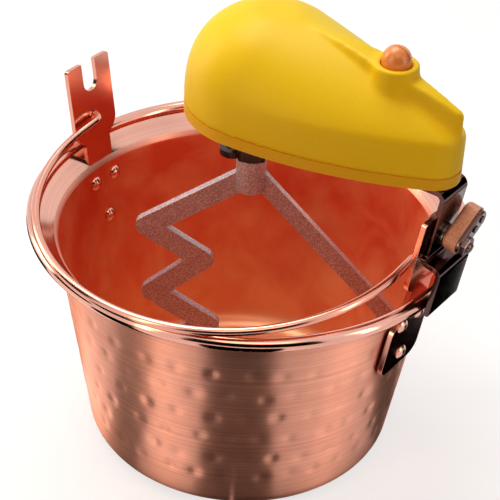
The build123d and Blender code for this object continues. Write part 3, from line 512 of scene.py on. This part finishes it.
def press(height, turn):
    """How far (mm) the marks push the wall inwards at a height (mm) and an angle round the pot."""
    depth = 0.0
    radius = base_r + height * math.tan(wall_lean)
    for angle, mark_z, deep, wide in marks:
        if abs(mark_z - height) > mark_reach * wide:
            continue
        apart = (turn - angle + math.pi) % (2 * math.pi) - math.pi
        distance = math.hypot(apart * radius, mark_z - height) / wide
        if distance < mark_reach:
            depth += deep * math.exp(-distance ** 2)
    return depth


for vert in pot.verts:
    height, radius = vert.co.z / MM, math.hypot(vert.co.x, vert.co.y) / MM
    if not mark_zone[0] < height < mark_zone[1] or radius < base_r - wall_band:
        continue
    outside = radius > base_r + height * math.tan(wall_lean) - wall_t / 2
    turn = math.atan2(vert.co.y, vert.co.x) % (2 * math.pi)
    inwards = Vector((-vert.co.x, -vert.co.y, 0)).normalized()
    vert.co += inwards * press(height, turn) * (1.0 if outside else inside_share) * MM
print("marks", len(marks))

# %% [markdown]
# ## The pot's three finishes
#
# One mesh carries all three: brushed on the outer wall and under the base, filmed with oxide inside and painted
# paler towards the base there as painted light, and polished from the lip up. A face's place in the sheet says
# which it gets.

# %% Share the finishes out over the pot's faces
pot_finishes = [brushed_copper, inner_copper, polished_copper]
outer_band = 1.3
base_skin = 0.5
lip_above = 2
down_slope = -0.02

for face in pot.faces:
    middle = face.calc_center_median()
    height, radius = middle.z / MM, math.hypot(middle.x, middle.y) / MM
    wall_at = base_r + height * math.tan(wall_lean)
    outer_wall = height > corner_r and radius > wall_at - outer_band
    outer_corner = height <= corner_r and face.normal.dot(Vector((middle.x, middle.y, down_slope))) > 0
    if height > lip_start_z + lip_above:
        finish = polished_copper
    elif height < base_skin or outer_wall or outer_corner:
        finish = brushed_copper
    else:
        finish = inner_copper
    face.material_index = pot_finishes.index(finish)
pot_piece = place("pot", pot, pot_finishes, "pot", "pot_shell", "rim_wire")
smooth_shade(pot_piece, round_angle)
print("pot triangles", triangles(pot_piece))

# %% [markdown]
# ## Ears and rivets
#
# Each ear is a 3 mm steel plate, punched with a fork at the top. Punching leaves a rounded edge on one side,
# and plating rounds it further, so a 0.5 mm bevel is about right. The rivet heads are smooth domes.

# %% Ears and rivets
for side in ("right", "left"):
    soften("ear_" + side, [plated_copper], 0.5, segments=3)
    soften("ear_rivets_" + side, [polished_copper], 0.15)

# %% [markdown]
# ## The bail handle
#
# The bail is a 5 mm rod bent cold: a short pin through each ear, a tight bend, a straight leg and one half
# circle that lies along the rim. Extruding a circle and spinning it about each bend's centre follows what
# the bending machine does.

# %% Bail
rod_r = 2.5 * MM
rod_sides = 28
bend_r = 6 * MM
bend_steps, arch_steps = 12, 120
leg_x = 113.4 * MM
hinge_z = joints["bail_swing"]["pos_m"][2]
bail_low, bail_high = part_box("bail_handle")
tip_x = bail_high.x
out_y, drop_z = -bail_low.y - rod_r, hinge_z - bail_low.z - rod_r
reach = math.hypot(out_y, drop_z)
droop = math.atan2(drop_z, out_y)

bail = bmesh.new()
tip_turn = Matrix.Translation((tip_x, 0, 0)) @ Matrix.Rotation(math.pi / 2, 4, "Y")
bmesh.ops.create_circle(bail, cap_ends=True, segments=rod_sides, radius=rod_r, matrix=tip_turn)


def run(bm, faces, step):
    """Push the rod's end face straight on."""
    grown = bmesh.ops.extrude_face_region(bm, geom=faces)["geom"]
    bmesh.ops.delete(bm, geom=[f for f in faces if f.is_valid], context="FACES_ONLY")
    bmesh.ops.translate(bm, verts=[g for g in grown if isinstance(g, bmesh.types.BMVert)], vec=step)
    return [g for g in grown if isinstance(g, bmesh.types.BMFace)]


def bend(bm, faces, centre, angle, steps):
    """Carry the rod's end face round an upright axis."""
    for _ in range(steps):
        faces = run(bm, faces, (0, 0, 0))
        verts = list({v for f in faces for v in f.verts})
        bmesh.ops.rotate(bm, verts=verts, cent=centre, matrix=Matrix.Rotation(angle / steps, 3, "Z"))
    return faces


start_x = leg_x + bend_r
big_centre = reach - leg_x
bmesh.ops.recalc_face_normals(bail, faces=bail.faces[:])
end_cap = bail.faces[:]
end_cap = run(bail, end_cap, (start_x - tip_x, 0, 0))
end_cap = bend(bail, end_cap, (start_x, bend_r, 0), -math.pi / 2, bend_steps)
end_cap = run(bail, end_cap, (0, big_centre - bend_r, 0))
end_cap = bend(bail, end_cap, (0, big_centre, 0), math.pi, arch_steps)
end_cap = run(bail, end_cap, (0, bend_r - big_centre, 0))
end_cap = bend(bail, end_cap, (-start_x, bend_r, 0), -math.pi / 2, bend_steps)
end_cap = run(bail, end_cap, (start_x - tip_x, 0, 0))
bmesh.ops.holes_fill(bail, edges=[e for e in bail.edges if e.is_boundary], sides=0)
bmesh.ops.remove_doubles(bail, verts=bail.verts[:], dist=0.001 * MM)
drooping = Matrix(((1, 0, 0, 0), (0, -math.cos(droop), math.sin(droop), 0),
                   (0, -math.sin(droop), -math.cos(droop), hinge_z), (0, 0, 0, 1)))
bmesh.ops.transform(bail, matrix=drooping, verts=bail.verts[:])
bmesh.ops.recalc_face_normals(bail, faces=bail.faces[:])
bail_piece = place("bail_rod", bail, [plated_copper], "bail", "bail_handle")
smooth_shade(bail_piece, round_angle)
print("bail reach", round(reach / MM, 1), "droop", round(math.degrees(droop), 1))

# %% [markdown]
# ## The housing
#
# The cover is a moulded shell. The construction has its true form, but where the rib and the turret grow out
# of the crown a mould has a fillet, and every outer edge is eased. A voxel remesh casts the shell again on an
# even grid of 1.1 mm, and smoothing that grid fills each inner corner and rounds each outer one by 2 to 3 mm.
# The lower edge meets the base at a crisp line, so the grid stays as it is there.

# %% Housing cover
grid_mm = 1.1
smooth_rounds = 9
crisp_below = 237.0


def recast(node):
    """A closed node's mesh made again on an even grid."""
    source = merged_copy(node, False)
    mesh = bpy.data.meshes.new(node + "_grid")
    source.to_mesh(mesh)
    source.free()
    holder = bpy.data.objects.new(node + "_grid", mesh)
    bpy.context.scene.collection.objects.link(holder)
    remesh = holder.modifiers.new("grid", "REMESH")
    remesh.mode = "VOXEL"
    remesh.voxel_size = grid_mm * MM
    shape = bpy.data.meshes.new_from_object(holder.evaluated_get(bpy.context.evaluated_depsgraph_get()))
    bpy.data.objects.remove(holder)
    grid = bmesh.new()
    grid.from_mesh(shape)
    return grid


cover = recast("housing_cover")
eased = [vert for vert in cover.verts if vert.co.z > crisp_below * MM]
for _ in range(smooth_rounds):
    bmesh.ops.smooth_vert(cover, verts=eased, factor=0.5, use_axis_x=True, use_axis_y=True, use_axis_z=True)
cover_piece = place("cover_shell", cover, [yellow_abs], "drive", "housing_cover")
smooth_shade(cover_piece, round_angle)
print("cover triangles", triangles(cover_piece))

# %% Base, screws and cable bush
soften("housing_base", [yellow_base], 0.3)
soften("cable_grommet", [black_rubber], 0.3)
soften("housing_screws", [zinc_steel], 0.1)
print("base done")

# %% [markdown]
# ## Bracket, clamp, button, paddle and clip
#
# The bracket is bent strip, so its edges are only broken with a file. The paddle's edges are ground after
# casting: the bevel that rounds them also carries the bright ground finish.

# %% Bracket and clamp
soften("mount_bracket", [nickel_painted_dark], 0.5, segments=3)
soften("bracket_screws", [zinc_steel], 0.1)
soften("clamp_stud", [dark_steel], 0.2)
soften("clamp_nut", [dark_steel], 0.3)
soften("clamp_grip", [beech], 0.6, segments=3)
soften("clamp_strap", [nickel_painted_dark], 0.3)
soften("grip_rivets", [dark_steel], 0.2)
print("clamp done")

# %% Button, paddle, clip and shaft
soften("power_button", [button_plastic], 0.3)
soften("paddle", [cast_aluminium, ground_aluminium], 0.7, edge_material=1, segments=3)
soften("lock_clip", [black_nylon], 0.4, segments=3)
soften("output_shaft", [turned_steel], 0.2)
print("stirrer done")

# %% Inner pieces keep their meshes and get their finishes
inner_finish = {
    "switch_body": black_nylon, "button_spring": turned_steel, "output_gear": acetal,
    "compound_gear": acetal, "output_bush": sintered_bronze, "gear_pin": turned_steel,
    "gear_plate": zinc_steel, "gear_posts": turned_steel, "plate_screws": zinc_steel,
    "motor_can": zinc_steel, "motor_coil": winding_wire, "motor_rotor": ferrite,
}
for node, finish in inner_finish.items():
    nodes[node].data.materials.clear()
    nodes[node].data.materials.append(finish)
print("inner pieces", len(inner_finish))

# %% [markdown]
# ## Floor, light and background
#
# The background is white with hardly any shadow. The floor is pale and takes a soft shadow, and the world is
# white where the camera or a reflection sees it. The object itself is lit by a large overhead soft box a
# little behind it and by warm strips at its sides, at a level where a colour shows about as it is written.
#
# Polished metal needs something dark to reflect, or it looks like plastic. A product photographer lays black
# cards round the object, outside the picture. Here each card is a strip spun round the axis, on the floor or
# upright, that only reflections see, so it takes no light from the object and throws no shadow.

# %% Floor and world


def seen_rays(tree):
    """One for rays from the camera, a reflection or a refraction, and zero for diffuse ones."""
    path = add(tree, "LightPath").outputs
    direct = {0: path["Is Camera Ray"], 1: path["Is Glossy Ray"]}
    seen = add(tree, "Math", direct, operation="MAXIMUM").outputs[0]
    return add(tree, "Math", {0: seen, 1: path["Is Transmission Ray"]}, operation="MAXIMUM").outputs[0]


floor_half = 3.0
floor_drop = 0.5 * MM
floor_mesh = bmesh.new()
bmesh.ops.create_grid(floor_mesh, x_segments=1, y_segments=1, size=floor_half)
floor = bpy.data.objects.new("floor", bpy.data.meshes.new("floor"))
floor_mesh.to_mesh(floor.data)
floor_mesh.free()
bpy.context.scene.collection.objects.link(floor)
floor.location.z = -floor_drop

floor_glow = 0.72
floor_paper, tree, shader = start("white_paper", Base_Color=colour("#A0A0A0"), Roughness=0.9)[:3]
shader.inputs["Emission Color"].default_value = (1, 1, 1, 1)
glow = add(tree, "Math", {0: seen_rays(tree), 1: floor_glow}, operation="MULTIPLY")
tree.links.new(glow.outputs[0], shader.inputs["Emission Strength"])
floor.data.materials.append(floor_paper)

world_light = 0.12
world = bpy.data.worlds.new("studio")
bpy.context.scene.world = world
world.use_nodes = True
tree = world.node_tree
level = add(tree, "MapRange", {"Value": seen_rays(tree), "To Min": world_light, "To Max": 1.0})
tree.links.new(level.outputs[0], tree.nodes["Background"].inputs["Strength"])
tree.nodes["Background"].inputs["Color"].default_value = (1, 1, 1, 1)
print("floor and world ready")

# %% Black cards
black_card = start("black_card", Base_Color=(0, 0, 0, 1), Roughness=1.0, Specular_IOR_Level=0.0)[0]
camera_side = -math.pi / 2 + camera_turn
card_z = 0.2
foot_shade_r, near_r, far_r = 70, 110, 520
wall_r, wall_top = 1500, 1500
card_steps = 24


def lay_card(name, ends, turn_from, turn_to):
    """Spin the line between two (radius, height) points in mm, between two angles from the camera's side."""
    card = bmesh.new()
    first = Matrix.Rotation(camera_side + math.radians(turn_from), 3, "Z")
    card.edges.new([card.verts.new(first @ Vector((radius * MM, 0, height * MM))) for radius, height in ends])
    bmesh.ops.spin(card, geom=card.verts[:] + card.edges[:], cent=(0, 0, 0), axis=(0, 0, 1), dvec=(0, 0, 0),
                   angle=math.radians(turn_to - turn_from), steps=card_steps, use_merge=False,
                   use_duplicate=False)
    piece = bpy.data.objects.new(name, bpy.data.meshes.new(name))
    card.to_mesh(piece.data)
    card.free()
    piece.data.materials.append(black_card)
    bpy.context.scene.collection.objects.link(piece)
    piece.visible_camera = False
    piece.visible_diffuse = False
    piece.visible_transmission = False
    piece.visible_shadow = False


# Painted shade: this black ring round the pot's foot, seen only in reflections, stands for the shade where the pot
# meets the floor.
lay_card("card_foot", [(foot_shade_r, card_z), (near_r, card_z)], 0, 359)
for turn_from, turn_to in [(-67, -45), (-17, 17), (74, 104), (122, 144), (170, 200), (230, 262)]:
    lay_card("card_%d" % (turn_from % 360), [(near_r, card_z), (far_r, card_z)], turn_from, turn_to)
for turn_from, turn_to in [(-98, -72), (-26, 36), (86, 118)]:
    lay_card("wall_%d" % (turn_from % 360), [(wall_r, 0), (wall_r, wall_top)], turn_from, turn_to)

# %% Lights


def soft_box(name, turn, distance, height, width, tall, watts, tint="#FFFFFF"):
    """An area light at an angle (degrees) from the camera's side, aimed where the camera looks."""
    data = bpy.data.lights.new(name, "AREA")
    data.shape = "RECTANGLE"
    data.size, data.size_y = width, tall
    data.energy = watts
    data.color = colour(tint)[:3]
    lamp = bpy.data.objects.new(name, data)
    bpy.context.scene.collection.objects.link(lamp)
    where = Matrix.Rotation(camera_side + math.radians(turn), 3, "Z") @ Vector((distance, 0, height))
    lamp.location = where
    lamp.rotation_mode = "QUATERNION"
    lamp.rotation_quaternion = (look_at - where).to_track_quat("-Z", "Y")


soft_box("overhead", -145, 0.5, 1.4, 1.0, 0.8, 13)
soft_box("left_streak", -44, 1.25, 0.55, 0.16, 1.1, 3.5, "#FFD2A8")
soft_box("left_wing", -110, 1.2, 0.6, 0.5, 1.0, 8, "#FFE2C4")
soft_box("right_streak", 58, 1.25, 0.5, 0.18, 1.0, 3, "#FFD9C0")
soft_box("fill", 8, 0.8, 1.35, 0.7, 0.5, 2.5, "#FFC090")

# %% Colour management and the end
bpy.context.scene.view_settings.view_transform = "Standard"
